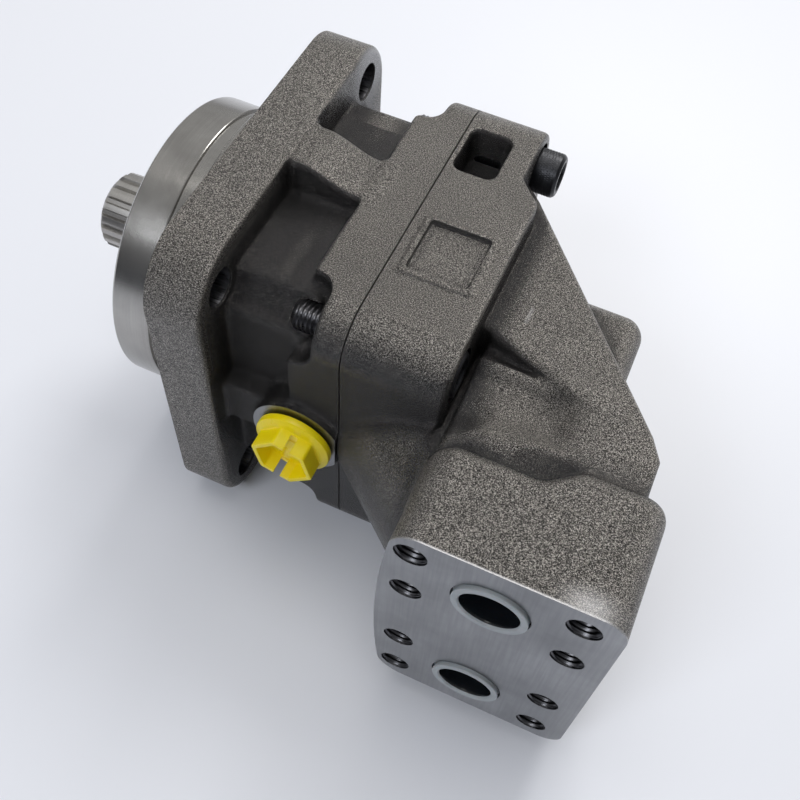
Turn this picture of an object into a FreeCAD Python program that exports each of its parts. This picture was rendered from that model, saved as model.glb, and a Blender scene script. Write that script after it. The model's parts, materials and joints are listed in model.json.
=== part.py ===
import FreeCAD, Part
import math
import os

# Bent-axis piston motor: square four-bolt flange, splined shaft, 40 degree barrel housing.
# Frame: origin at the centre of the mounting face on the shaft axis, +X out along the shaft,
# +Y square to the port face, +Z along the line that joins the two ports.

os.makedirs("parts", exist_ok=True)
V = FreeCAD.Vector
X, Y, Z = V(1, 0, 0), V(0, 1, 0), V(0, 0, 1)

# ---- driving dimensions, mm ----
FLANGE_HALF = 91.0          # half side of the square flange
FLANGE_T = 25.0
FLANGE_CORNER_R = 29.0
BOLT_PCD = 200.0
BOLT_HOLE_R = 8.75          # clearance for M16
PILOT_R = 80.0
PILOT_L = 9.0
NOSE_R = 72.4
NOSE_END = 39.3
BLOCK_HALF = 80.0           # half side of the rear block and of the ear
BLOCK_R = 21.0
BLOCK_X = -58.0
PARTING_X = -83.0
BODY_WIDE = 70.0            # waist between flange and block, a cross in section
BODY_NARROW = 50.0
RIB_HALF = 13.5
SCOOP_R = 17.5              # room for the flange bolt heads
SCOOP_X = -67.0
EAR_X = -128.0              # rear face of the barrel housing's ear
EAR_STEP_X = -117.0
SCREW_C = 62.0              # housing screws, square pattern half side
SCREW_R = 7.0               # M14
SCREW_L = 60.0
SCREW_HEAD_R = 10.5
SCREW_HEAD_H = 14.0
WEB_Z = 66.0
NECK_Z = 56.5               # the body between the web and the port block
PORT_FACE_Y = 140.8
PORT_X = -174.2
PORT_Z = 42.8
PORT_R = 15.9
PORT_BOLT_X = 66.6
PORT_BOLT_Z = 31.8
PORT_BOLT_R = 6.0           # tap bore of M14
PORT_BLOCK_X = (-222.5, -128.5)
PORT_BLOCK_Y = 92.0
PORT_BLOCK_Z = 72.0

BEND_X = -72.0              # shaft axis and barrel axis cross here
BEND_DEG = 40.0
PISTONS = 7
BALL_CIRCLE_R = 30.0
BALL_R = 10.0
BORE_R = 10.0
PISTON_L = 66.0             # ball centre to head centre
BARREL_R = 41.0
BARREL_U = (39.0, 97.0)     # barrel ends, measured from the bend along the barrel axis
BARREL_ROOM_R = 43.5
CROWN_ROOM_R = 52.5
TUBE_R = 56.0               # outside of the housing round the barrel
GEAR_TEETH = 36
GEAR_HALF_DEG = 70.0
GEAR_RHO = (43.5, 50.0)
GAP = 0.3                   # clearance between rounded faces of pieces that move

SPLINE_TEETH = 18           # W40 x 2 x 18
SPLINE_TIP_R = 19.8
SPLINE_ROOT_R = 17.8
SPLINE_X = (44.0, 82.5)
SEAL_LAND_R = 22.5

DRAIN_X = -63.5
DRAIN_Y = 84.0

BEND = V(BEND_X, 0, 0)
BEND_RAD = math.radians(BEND_DEG)
BARREL_DIR = V(-math.cos(BEND_RAD), math.sin(BEND_RAD), 0)
BARREL_SIDE = V(math.sin(BEND_RAD), math.cos(BEND_RAD), 0)


# ---- helpers ----
def save(name, shape):
    shape = shape.removeSplitter() if shape.ShapeType != "Compound" else shape
    shape.exportStep("parts/" + name + ".step")


def box(x0, x1, y0, y1, z0, z1):
    return Part.makeBox(x1 - x0, y1 - y0, z1 - z0, V(x0, y0, z0))


def cyl_x(r, x0, x1, y=0.0, z=0.0):
    return Part.makeCylinder(r, x1 - x0, V(x0, y, z), X)


def cone_x(r0, r1, x0, x1, y=0.0, z=0.0):
    return Part.makeCone(r0, r1, x1 - x0, V(x0, y, z), X)


def cyl_y(r, y0, y1, x, z):
    return Part.makeCylinder(r, y1 - y0, V(x, y0, z), Y)


def cone_y(r0, r1, y0, y1, x, z):
    return Part.makeCone(r0, r1, y1 - y0, V(x, y0, z), Y)


def rounded_square(half, r, x0, x1):
    body = box(x0, x1, -half, half, -half, half)
    edges = [e for e in body.Edges if abs(e.tangentAt(e.FirstParameter).x) > 0.99]
    return body.makeFillet(r, edges)


def revolve_x(points):
    wire = Part.makePolygon([V(x, r, 0) for x, r in points + points[:1]])
    return Part.Face(wire).revolve(V(0, 0, 0), X, 360)


def prism_z(points, z0, z1):
    wire = Part.makePolygon([V(x, y, z0) for x, y in points + points[:1]])
    return Part.Face(wire).extrude(V(0, 0, z1 - z0))


def on_barrel(shape):
    """Move a shape built along +X from the origin onto the barrel axis, starting at the bend."""
    moved = shape.copy()
    moved.rotate(V(0, 0, 0), Z, 180.0 - BEND_DEG)
    moved.translate(BEND)
    return moved


def barrel_point(u, side, z):
    return BEND + BARREL_DIR * u + BARREL_SIDE * side + Z * z


def turned(shape, degrees):
    moved = shape.copy()
    moved.rotate(V(0, 0, 0), X, degrees)
    return moved


def revolve_profile(edges):
    """Solid of revolution about +X from edges that start and end on the axis."""
    first, last = edges[0].firstVertex().Point, edges[-1].lastVertex().Point
    wire = Part.Wire(edges + [Part.makeLine(last, first)])
    return Part.Face(wire).revolve(V(0, 0, 0), X, 360)


def ball_profile(r, x_cut):
    """Arc of a ball centred on the origin, from its back to the section at x_cut."""
    return Part.Arc(V(-r, 0, 0), V(0, r, 0), V(x_cut, math.sqrt(r * r - x_cut * x_cut), 0)).toShape()


def lines(points):
    return [Part.makeLine(V(a[0], a[1], 0), V(b[0], b[1], 0)) for a, b in zip(points, points[1:])]


def fuse(shapes):
    return shapes[0].multiFuse(shapes[1:]) if len(shapes) > 1 else shapes[0]


def corners(c):
    return [(sy * c, sz * c) for sy in (-1, 1) for sz in (-1, 1)]


def edges_along(shape, axis, low, high):
    """Straight edges along an axis whose middle lies inside a box."""
    found = []
    for edge in shape.Edges:
        if edge.Curve.TypeId != "Part::GeomLine":
            continue
        if abs(edge.tangentAt(edge.FirstParameter).dot(axis)) < 0.99:
            continue
        p = edge.CenterOfMass
        if all(a <= q <= b for a, q, b in zip(low, (p.x, p.y, p.z), high)):
            found.append(edge)
    return found


# ---- bearing housing ----
def bearing_housing():
    flange = rounded_square(FLANGE_HALF, FLANGE_CORNER_R, -FLANGE_T, 0)
    rim = [e for e in flange.Edges if abs(e.CenterOfMass.x + FLANGE_T) < 0.01 or abs(e.CenterOfMass.x) < 0.01]
    flange = flange.makeFillet(3.0, rim)
    block = rounded_square(BLOCK_HALF, BLOCK_R, PARTING_X, BLOCK_X)
    front = [e for e in block.Edges if abs(e.CenterOfMass.x - BLOCK_X) < 0.01]
    block = block.makeFillet(2.5, front)
    x0, x1 = BLOCK_X - 6, -FLANGE_T + 2
    waist = [
        box(x0, x1, -BODY_WIDE, BODY_WIDE, -BODY_NARROW, BODY_NARROW),
        box(x0, x1, -BODY_NARROW, BODY_NARROW, -BODY_WIDE, BODY_WIDE),
    ]
    long_edges = [w.makeFillet(6.0, edges_along(w, X, (x0, -90, -90), (x1, 90, 90))) for w in waist]
    ribs = [
        box(x0, x1, -RIB_HALF, RIB_HALF, -BLOCK_HALF, BLOCK_HALF),
        box(x0, x1, -BLOCK_HALF, BLOCK_HALF, -RIB_HALF, RIB_HALF),
    ]
    pilot = [
        cyl_x(PILOT_R, -1, PILOT_L - 1.2),
        cone_x(PILOT_R, PILOT_R - 1.2, PILOT_L - 1.2, PILOT_L),
        cyl_x(NOSE_R - 1.0, PILOT_L, PILOT_L + 3),
        cyl_x(NOSE_R, PILOT_L + 3, NOSE_END - 1.5),
        cone_x(NOSE_R, NOSE_R - 1.5, NOSE_END - 1.5, NOSE_END),
    ]
    bosses = [
        cyl_y(20.5, 60, DRAIN_Y, DRAIN_X, 0).common(box(PARTING_X, 0, 0, 100, -50, 50)),
        cyl_y(20.5, -DRAIN_Y, -60, DRAIN_X, 0).common(box(PARTING_X, 0, -100, 0, -50, 50)),
    ]
    solid = fuse([flange, block] + long_edges + ribs + pilot + bosses)
    c = BOLT_PCD / 2 / math.sqrt(2)
    cuts = []
    for y, z in corners(c):
        cuts.append(cyl_x(BOLT_HOLE_R, -FLANGE_T - 1, 1, y, z))
        cuts.append(cyl_x(SCOOP_R, SCOOP_X, -FLANGE_T, y, z))
        cuts.append(cyl_x(15.5, -FLANGE_T, -FLANGE_T + 1.0, y, z))
    for y, z in corners(SCREW_C):
        cuts.append(cyl_x(SCREW_R + 0.05, PARTING_X - 1, BLOCK_X + 1, y, z))
    cuts.append(fuse([
        cyl_x(66.0, PARTING_X - 1, -54),
        cyl_x(60.0, -54.5, -46),
        cyl_x(55.0, -46.5, -22),
        cyl_x(43.0, -22.5, 1),
        cyl_x(42.5, 0.5, 22),
        cyl_x(31.0, 21, NOSE_END + 1),
        cyl_x(32.5, 37.0, 38.7),
    ]))
    groove = cyl_x(74.4, PARTING_X - 1, PARTING_X + 2.8).cut(cyl_x(70.6, PARTING_X - 2, PARTING_X + 3))
    cuts.append(groove)
    for side in (1, -1):
        y0, y1 = sorted((side * 50, side * (DRAIN_Y + 1)))
        cuts.append(cyl_y(10.6, y0, y1, DRAIN_X, 0))
    for cut in cuts:
        solid = solid.cut(cut)
    return solid


# ---- barrel housing ----
def kidney_way(side):
    """Passage from one valve plate slot to the foot of its port."""
    start = barrel_point(102.5, 0, side * BALL_CIRCLE_R * 0.883)
    end = V(PORT_X, 110, side * PORT_Z)
    way = end - start
    return Part.makeCylinder(9.0, way.Length, start, way)


def ridge(side):
    """Rounded rib along the web's foot."""
    r = 11.0
    z = side * (NECK_Z + 4.5 - r)
    return fuse([cyl_x(r, -186, -116, 50, z), Part.makeSphere(r, V(-186, 50, z))])


def barrel_housing():
    ear = rounded_square(BLOCK_HALF, BLOCK_R, EAR_X, PARTING_X)
    step = prism_z([(EAR_X - 1, -81), (EAR_STEP_X, -81), (EAR_STEP_X, -36), (EAR_STEP_X - 6, -30),
                    (EAR_X - 1, -19)], -81, 81)
    ear = ear.cut(step)
    web_outline = [(-100, -50), (-119, -47), (-126, -40), (-207.4, 57.4), (-213, 66), (-213, 90),
                   (-188, 90), (-188, 60), (-182, 56), (-131, 38), (-100, 38)]
    web = prism_z(web_outline, -WEB_Z, WEB_Z)
    tube = on_barrel(cyl_x(TUBE_R, 0, 130)).common(box(-260, PARTING_X, -100, 200, -80, 80))
    back, front = PORT_BLOCK_X
    block_outline = [(front, PORT_FACE_Y), (front, PORT_BLOCK_Y + 4), (-160, PORT_BLOCK_Y + 4),
                     (-190, PORT_BLOCK_Y - 6.5), (-213, PORT_BLOCK_Y - 6.5), (back, PORT_BLOCK_Y + 3),
                     (back, PORT_FACE_Y)]
    block = prism_z(block_outline, -PORT_BLOCK_Z, PORT_BLOCK_Z)
    block = block.makeFillet(11.0, edges_along(block, Y, (-300, 0, -100), (0, 200, 100)))
    neck = box(-200, -131, 38, 100, -NECK_Z, NECK_Z)
    neck = neck.makeFillet(8.0, edges_along(neck, Y, (-140, 0, -60), (-120, 200, 60)))
    lug = box(-190.5, -160, -15, 40, -46, 46)
    lug = lug.makeFillet(9.0, edges_along(lug, Z, (-200, -20, -50), (-150, 0, 50)))
    solid = fuse([ear, web, tube, neck, lug, ridge(1), ridge(-1)])
    for side in (1, -1):
        solid = solid.cut(Part.makeSphere(30.0, V(-173.6, 98, side * (WEB_Z + 23.5))))
    solid = solid.fuse(block)
    pad = box(-120.5, -88.5, 2, 36, 70, BLOCK_HALF + 0.8)
    pad = pad.makeFillet(2.0, edges_along(pad, Z, (-130, 0, 60), (-80, 40, 90)))
    solid = solid.fuse(pad)

    room = [
        on_barrel(cyl_x(CROWN_ROOM_R, -40, 48)),
        on_barrel(cyl_x(BARREL_ROOM_R, -40, 103)),
    ]
    ways = [kidney_way(1), kidney_way(-1)]
    cuts = room + ways
    for side in (1, -1):
        z = side * PORT_Z
        cuts.append(cyl_y(PORT_R, 108, PORT_FACE_Y + 1, PORT_X, z))
        cuts.append(cone_y(9.5, PORT_R, 102, 108, PORT_X, z))
        for sx in (1, -1):
            for sz in (1, -1):
                hx = PORT_X + sx * PORT_BOLT_X / 2
                hz = z + sz * PORT_BOLT_Z / 2
                cuts.append(cyl_y(PORT_BOLT_R, PORT_FACE_Y - 26, PORT_FACE_Y + 1, hx, hz))
        pocket = box(-105, -86, -55, -28, min(side * 62, side * 81), max(side * 62, side * 81))
        cuts.append(pocket.makeFillet(3.0, edges_along(pocket, Z, (-110, -60, -90), (-80, -20, 90))))
        cuts.append(cyl_x(SCREW_R + 0.5, EAR_X - 1, PARTING_X + 1, -SCREW_C, side * SCREW_C))
        cuts.append(cyl_x(SCREW_R + 0.5, EAR_X - 1, PARTING_X + 1, SCREW_C, side * SCREW_C))
        cuts.append(cyl_x(12.5, EAR_STEP_X - 14, EAR_STEP_X + 2.4, -SCREW_C, side * SCREW_C))
        cuts.append(cyl_x(11.5, EAR_X - 7, EAR_STEP_X + 2.4, SCREW_C, side * SCREW_C))
    dowel = Part.makeCylinder(2.5, 8.0, barrel_point(101.0, -37.0, 0), BARREL_DIR)
    cuts.append(dowel)
    cuts.append(cyl_y(8.0, -16, 18, -175.2, 0))
    for cut in cuts:
        solid = solid.cut(cut)
    return solid


# ---- screws, plugs, rings ----
def hex_prism_x(flats, x0, x1):
    r = flats / math.sqrt(3)
    pts = [V(x0, r * math.cos(math.radians(60 * k)), r * math.sin(math.radians(60 * k))) for k in range(7)]
    return Part.Face(Part.makePolygon(pts)).extrude(V(x1 - x0, 0, 0))


def socket_screw():
    """Cap screw along +X with its seat at x = 0, head on the -X side."""
    head = fuse([
        cone_x(SCREW_HEAD_R - 1.0, SCREW_HEAD_R, -SCREW_HEAD_H, -SCREW_HEAD_H + 1.0),
        cyl_x(SCREW_HEAD_R, -SCREW_HEAD_H + 1.0, -2.5),
        cyl_x(SCREW_HEAD_R - 0.5, -2.5, 0),
    ])
    socket = hex_prism_x(12.0, -SCREW_HEAD_H - 1, -SCREW_HEAD_H + 8)
    shank = fuse([
        cyl_x(SCREW_R, 0, SCREW_L - 1.5),
        cone_x(SCREW_R, SCREW_R - 1.5, SCREW_L - 1.5, SCREW_L),
    ])
    return head.cut(socket).fuse(shank)


def housing_screws():
    screws = []
    for y, z in corners(SCREW_C):
        screw = socket_screw()
        screw.translate(V(EAR_STEP_X + 2.4, y, z))
        screws.append(screw)
    return Part.makeCompound(screws)


def torus_x(ring_r, wire_r, x):
    return Part.makeTorus(ring_r, wire_r, V(x, 0, 0), X)


def hex_y(flats, y0, y1, x, z, turn=0.0):
    r = flats / math.sqrt(3)
    pts = []
    for k in range(7):
        a = math.radians(60 * k + turn)
        pts.append(V(x + r * math.cos(a), y0, z + r * math.sin(a)))
    return Part.Face(Part.makePolygon(pts)).extrude(V(0, y1 - y0, 0))


def drain_plug():
    """Plastic shipping plug: thread, washer face and a hollow slotted hexagon."""
    y = DRAIN_Y + 1.0
    solid = fuse([
        cyl_y(10.5, y - 13, y + 0.5, DRAIN_X, 0),
        cyl_y(18.2, y, y + 3.6, DRAIN_X, 0),
        cone_y(16.6, 15.2, y + 3.6, y + 5.0, DRAIN_X, 0),
        hex_y(26.0, y + 3.0, y + 14.0, DRAIN_X, 0, 8.0),
    ])
    hollow = hex_y(21.5, y + 5.0, y + 15.0, DRAIN_X, 0, 8.0)
    slot = box(-2.0, 2.0, y + 5.0, y + 15.0, -15, 15)
    slot.rotate(V(0, 0, 0), Y, -8.0)
    slot.translate(V(DRAIN_X, 0, 0))
    return solid.cut(hollow).cut(slot).cut(cyl_y(7.5, y - 14, y + 2.0, DRAIN_X, 0))


def steel_plug(x, y_seat, thread_r, collar_r, flats):
    """Hexagon plug that screws in along +Y from the -Y side."""
    solid = fuse([
        cyl_y(thread_r, y_seat, y_seat + 12, x, 0),
        cyl_y(collar_r, y_seat - 3.5, y_seat, x, 0),
        hex_y(flats, y_seat - 12, y_seat - 3.5, x, 0),
    ])
    return solid


def washer_y(r_out, r_in, y0, y1, x):
    return cyl_y(r_out, y0, y1, x, 0).cut(cyl_y(r_in, y0 - 1, y1 + 1, x, 0))


def port_plug(z):
    """Ribbed plastic cup pressed into a port, standing a little proud of the face."""
    proud = PORT_FACE_Y + 1.8
    cup = fuse([
        cyl_y(15.0, PORT_FACE_Y - 17, proud, PORT_X, z),
        cyl_y(15.4, proud - 1.1, proud, PORT_X, z),
    ])
    for k in range(5):
        y = PORT_FACE_Y - 3 - 2.6 * k
        cup = cup.fuse(cone_y(15.0, 15.7, y, y + 0.7, PORT_X, z))
    return cup.cut(cone_y(11.4, 12.4, PORT_FACE_Y - 15.2, proud + 0.01, PORT_X, z))


# ---- shaft group ----
def spline():
    pts = []
    half_root = math.radians(360.0 / SPLINE_TEETH * 0.36)
    half_tip = math.radians(360.0 / SPLINE_TEETH * 0.17)
    for k in range(SPLINE_TEETH):
        mid = 2 * math.pi * k / SPLINE_TEETH
        for r, a in ((SPLINE_ROOT_R, -half_root), (SPLINE_TIP_R, -half_tip),
                     (SPLINE_TIP_R, half_tip), (SPLINE_ROOT_R, half_root)):
            pts.append(V(SPLINE_X[0], r * math.cos(mid + a), r * math.sin(mid + a)))
    pts.append(pts[0])
    teeth = Part.Face(Part.makePolygon(pts)).extrude(V(SPLINE_X[1] - SPLINE_X[0], 0, 0))
    limit = fuse([
        cyl_x(SPLINE_TIP_R + 1, SPLINE_X[0], SPLINE_X[1] - 2.0),
        cone_x(SPLINE_TIP_R, SPLINE_TIP_R - 2.0, SPLINE_X[1] - 2.0, SPLINE_X[1]),
    ])
    return teeth.common(limit)


def ball_centres():
    out = []
    for k in range(PISTONS):
        a = 2 * math.pi * k / PISTONS
        out.append((a, V(BEND_X, BALL_CIRCLE_R * math.cos(a), BALL_CIRCLE_R * math.sin(a))))
    return out


def output_shaft():
    core = revolve_x([
        (-74, 0), (-74, 43), (-50, 43), (-48, 36), (-46, 36), (-46, 30), (-22, 30), (-22, 26), (2, 26),
        (2, 22.5), (SPLINE_X[0] - 2, SEAL_LAND_R), (SPLINE_X[0], 19), (SPLINE_X[0] + 1, 17.6), (SPLINE_X[0] + 1, 0),
    ])
    shaft = core.fuse(spline())
    shaft = shaft.cut(Part.makeSphere(9.3, BEND))
    shaft = shaft.cut(cone_x(12.5, 9.0, -74.5, BEND_X))
    for angle, centre in ball_centres():
        shaft = shaft.cut(Part.makeSphere(11.5, centre))
    for k in range(PISTONS):
        a = 2 * math.pi * (k + 0.5) / PISTONS
        shaft = shaft.cut(cyl_x(2.05, -75, -62, 38 * math.cos(a), 38 * math.sin(a)))
    centre_drill = cone_x(6.0, 7.6, SPLINE_X[1] - 1.6, SPLINE_X[1] + 0.01)
    thread = cyl_x(6.0, SPLINE_X[1] - 30.0, SPLINE_X[1] + 1)
    return shaft.cut(thread).cut(centre_drill)


def piston_retainer():
    plate = cyl_x(42.0, -78, -74)
    plate = plate.cut(cone_x(17.0, 12.5, -78.01, -73.99))
    for angle, c in ball_centres():
        plate = plate.cut(cone_x(12.6, 10.3, -78.01, -73.99, c.y, c.z))
    for k in range(PISTONS):
        a = 2 * math.pi * (k + 0.5) / PISTONS
        y, z = 38 * math.cos(a), 38 * math.sin(a)
        plate = plate.cut(cyl_x(2.1, -79, -73, y, z)).cut(cone_x(3.7, 2.1, -78.01, -76.0, y, z))
    return plate


def retainer_screws():
    screws = []
    for k in range(PISTONS):
        a = 2 * math.pi * (k + 0.5) / PISTONS
        y, z = 38 * math.cos(a), 38 * math.sin(a)
        screw = cone_x(3.6, 2.0, -77.9, -76.1, y, z).fuse(cyl_x(2.0, -76.2, -63, y, z))
        screws.append(screw.cut(cyl_x(1.2, -79, -76.6, y, z)))
    return Part.makeCompound(screws)


def gear_teeth(phase_deg):
    """Straight bevel teeth about +X with the pitch cone's apex at the origin, facing -X."""
    half = math.radians(GEAR_HALF_DEG)
    along = V(math.cos(half), math.sin(half), 0)
    normal = V(-math.sin(half), math.cos(half), 0)
    sections = []
    for rho in GEAR_RHO:
        t = rho / math.sin(half)
        centre = along * t
        k = rho / GEAR_RHO[1]
        pts = [centre - normal * 1.7 - Z * 2.3 * k, centre + normal * 0.9 - Z * 1.2 * k,
               centre + normal * 0.9 + Z * 1.2 * k, centre - normal * 1.7 + Z * 2.3 * k]
        sections.append(Part.makePolygon(pts + pts[:1]))
    tooth = Part.makeLoft(sections, True)
    return [turned(tooth, phase_deg + 360.0 * k / GEAR_TEETH) for k in range(GEAR_TEETH)]


def pitch_x(rho):
    return rho / math.tan(math.radians(GEAR_HALF_DEG))


def shaft_timing_gear():
    r0, r1 = 43.0, GEAR_RHO[1]
    rim = revolve_x([(pitch_x(r0) + 1.5, r0), (pitch_x(r1) + 1.5, r1), (25.0, r1), (25.0, 47.0), (22.0, r0)])
    gear = fuse([rim] + gear_teeth(0.0))
    gear.translate(BEND)
    return gear.cut(cyl_x(43.0, -80, -40))


def barrel_timing_gear():
    r0, r1 = GEAR_RHO[0] + 1.0, GEAR_RHO[1]
    rim = revolve_x([
        (pitch_x(r0) + 1.5, r0), (pitch_x(r1) + 1.5, r1), (26.0, r1), (34.0, 46.5), (44.0, 46.5),
        (44.0, BARREL_R), (39.0, BARREL_R), (39.0, r0),
    ])
    gear = fuse([rim] + gear_teeth(180.0 / GEAR_TEETH))
    gear = gear.cut(cyl_x(r0, 0, 39.0))
    return on_barrel(gear)


# ---- taper roller bearings ----
def bearing(x0, width, r_in, r_out, roller_r, count, tilt_deg):
    """Cup, cone, rollers and cage about +X; the large end of the cone points to `x0 + width`
    for a positive tilt."""
    slope = math.tan(math.radians(tilt_deg))
    mid_x, mid_r = x0 + width / 2, (r_in + r_out) / 2
    half = width / 2 - 2.5
    side = (roller_r + GAP) / math.cos(math.radians(tilt_deg))

    def line(x, shift):
        return mid_r + slope * (x - mid_x) + shift

    xa, xb = x0, x0 + width
    cup = revolve_x([(xa, r_out), (xb, r_out), (xb, line(xb, side)), (xa, line(xa, side))])
    cone = revolve_x([(xa, r_in), (xb, r_in), (xb, line(xb, -side)), (xa, line(xa, -side))])
    base = cyl_x(roller_r, mid_x - half, mid_x + half)
    base = base.makeFillet(0.5, [e for e in base.Edges if e.Curve.TypeId == "Part::GeomCircle"])
    base.rotate(V(mid_x, 0, 0), Z, tilt_deg)
    base.translate(V(0, mid_r, 0))
    hole = cyl_x(roller_r + 0.25, mid_x - half - 0.4, mid_x + half + 0.4)
    hole.rotate(V(mid_x, 0, 0), Z, tilt_deg)
    hole.translate(V(0, mid_r, 0))
    ca, cb = mid_x - half - 1.6, mid_x + half + 1.6
    cage = revolve_x([(ca, line(ca, -0.7)), (cb, line(cb, -0.7)), (cb, line(cb, 0.7)), (ca, line(ca, 0.7))])
    rollers = []
    for k in range(count):
        rollers.append(turned(base, 360.0 * k / count))
        cage = cage.cut(turned(hole, 360.0 * k / count))
    return cup, cone, Part.makeCompound(rollers), cage


# ---- rotating group ----
def cylinder_barrel():
    barrel = cyl_x(BARREL_R, BARREL_U[0], BARREL_U[1])
    ring_r = BALL_CIRCLE_R * 0.883
    for k in range(PISTONS):
        a = 360.0 * k / PISTONS
        bore = cyl_x(BORE_R, BARREL_U[0] - 1, 92.5, -ring_r, 0)
        way = cyl_x(5.0, 92.0, BARREL_U[1] + 1, -ring_r, 0)
        barrel = barrel.cut(turned(bore, -a)).cut(turned(way, -a))
    barrel = barrel.cut(cyl_x(7.2, BARREL_U[0] - 1, 94.0))
    barrel = barrel.cut(cone_x(9.0, 7.2, BARREL_U[0] - 0.01, BARREL_U[0] + 2))
    return on_barrel(barrel)


def support_pin():
    ball_r, neck_r, rod_r, tip_r = 9.0, 4.6, 7.1, 3.6
    neck_x = math.sqrt(ball_r ** 2 - neck_r ** 2)
    rest = lines([(neck_x, neck_r), (16, neck_r), (26, rod_r), (82, rod_r), (82, tip_r), (88, tip_r), (88, 0)])
    return on_barrel(revolve_profile([ball_profile(ball_r, neck_x)] + rest))


def barrel_spring():
    helix = Part.makeHelix(2.4, 9.6, 5.3)
    start = V(5.3, 0, 0)
    section = Part.Wire([Part.makeCircle(0.85, start, V(0, 1, 0.08))])
    coil = Part.Wire(helix).makePipeShell([section], True, True)
    coil.rotate(V(0, 0, 0), Y, 90)
    coil.translate(V(83.2, 0, 0))
    return on_barrel(coil)


def valve_plate():
    plate = cyl_x(42.0, BARREL_U[1] + 0.05, 103.0)
    plate = plate.cut(cyl_x(5.0, 90, 110))
    ring_r = BALL_CIRCLE_R * 0.883
    ring = cyl_x(ring_r + 4.6, 90, 110).cut(cyl_x(ring_r - 4.6, 89, 111))
    for side in (1, -1):
        z0, z1 = sorted((side * 10.0, side * 60.0))
        slot = ring.common(box(80, 120, -60, 60, z0, z1))
        plate = plate.cut(slot)
    plate = plate.cut(cyl_x(2.55, 99, 110, 37.0, 0))
    return on_barrel(plate)


def plate_dowel():
    return on_barrel(cyl_x(2.5, 99.5, 108.0, 37.0, 0))


def tilt_of_pistons():
    return math.asin(BALL_CIRCLE_R * (1 - 0.883) / PISTON_L)


def piston_blank():
    """Piston along +X from its ball centre, with a groove for the ring."""
    neck_r = 4.2
    neck_x = math.sqrt(BALL_R ** 2 - neck_r ** 2)
    head_r = BORE_R - GAP
    half = 5.5
    rim_r = math.sqrt(head_r ** 2 - half ** 2)
    rod = lines([(neck_x, neck_r), (12, neck_r), (PISTON_L - 14, 7.6), (PISTON_L - half, rim_r)])
    crown = Part.Arc(V(PISTON_L - half, rim_r, 0), V(PISTON_L, head_r, 0), V(PISTON_L + half, rim_r, 0)).toShape()
    piston = revolve_profile([ball_profile(BALL_R, neck_x)] + rod + [crown] + lines([(PISTON_L + half, rim_r),
                                                                                  (PISTON_L + half, 0)]))
    groove = cyl_x(12, PISTON_L - 1.5, PISTON_L + 1.5).cut(cyl_x(7.8, PISTON_L - 2, PISTON_L + 2))
    return piston.cut(groove).cut(cyl_x(1.2, -12, PISTON_L + 6))


def piston_ring_blank():
    r, a, b = BORE_R - 0.25, PISTON_L - 1.4, PISTON_L + 1.4
    return revolve_x([(a, 7.9), (a, r - 0.2), (a + 0.6, r), (b - 0.6, r), (b, r - 0.2), (b, 7.9)])


def place_piston(shape, angle, centre):
    """Aim a piece from the ball centre at the middle of its bore in the barrel."""
    lean = math.degrees(tilt_of_pistons())
    toward = BARREL_SIDE * math.cos(angle) - Z * math.sin(angle)
    aim = BARREL_DIR * math.cos(math.radians(lean)) + toward * math.sin(math.radians(lean))
    moved = shape.copy()
    moved.Placement = FreeCAD.Placement(centre, FreeCAD.Rotation(X, aim))
    return moved


def piston_seat(centre):
    shell = Part.makeSphere(11.2, centre).cut(Part.makeSphere(BALL_R + GAP, centre))
    return shell.common(cyl_x(10.9, BEND_X, 0, centre.y, centre.z))


# ---- write the nodes ----
save("bearing_housing", bearing_housing())
save("barrel_housing", barrel_housing())
save("housing_o_ring", torus_x(72.5, 1.7, PARTING_X + 0.9).common(cyl_x(90, PARTING_X, -70)))
save("housing_screws", housing_screws())

save("output_shaft", output_shaft())
save("piston_retainer", piston_retainer())
save("retainer_screws", retainer_screws())
save("shaft_timing_gear", shaft_timing_gear())
save("bearing_nut", cyl_x(29.0, 23.0, 28.0).cut(cyl_x(22.5, 20, 30)))
save("shaft_seal", revolve_x([(29.0, 31.0), (36.8, 31.0), (36.8, 24.0), (34.5, 24.0), (33.0, 22.55),
                              (32.0, 22.55), (31.2, 24.0), (30.4, 29.0), (29.0, 29.0)]))
save("seal_circlip", cyl_x(32.4, 37.1, 38.6).cut(cyl_x(27.0, 37, 39)).cut(box(36, 40, -4, 4, 20, 40)))

front = bearing(2.0, 20.0, 22.5, 42.5, 4.4, 17, 12.0)
rear = bearing(-46.0, 24.0, 30.0, 55.0, 5.6, 19, -12.0)
for prefix, pieces in (("front_bearing", front), ("rear_bearing", rear)):
    for suffix, piece in zip(("cup", "cone", "rollers", "cage"), pieces):
        save(prefix + "_" + suffix, piece)

save("cylinder_barrel", cylinder_barrel())
save("barrel_timing_gear", barrel_timing_gear())
save("support_pin", support_pin())
save("barrel_spring", barrel_spring())
save("valve_plate", valve_plate())
save("valve_plate_dowel", plate_dowel())

for number, (angle, centre) in enumerate(ball_centres(), start=1):
    save("piston_%d" % number, place_piston(piston_blank(), angle, centre))
    save("piston_ring_%d" % number, place_piston(piston_ring_blank(), angle, centre))
    save("piston_seat_%d" % number, piston_seat(centre))

save("drain_plug", drain_plug())
save("drain_plug_washer", washer_y(15.5, 10.6, DRAIN_Y, DRAIN_Y + 1.0, DRAIN_X))
save("rear_drain_plug", steel_plug(DRAIN_X, -DRAIN_Y - 1.5, 10.5, 15.0, 24.0))
save("rear_drain_washer", washer_y(14.5, 10.7, -DRAIN_Y - 1.5, -DRAIN_Y, DRAIN_X))
save("flushing_plug", steel_plug(-175.2, -16.5, 7.9, 12.0, 19.0))
save("flushing_washer", washer_y(11.5, 8.1, -16.5, -15.0, -175.2))
save("port_plug_a", port_plug(PORT_Z))
save("port_plug_b", port_plug(-PORT_Z))
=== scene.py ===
import json
import math

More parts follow.
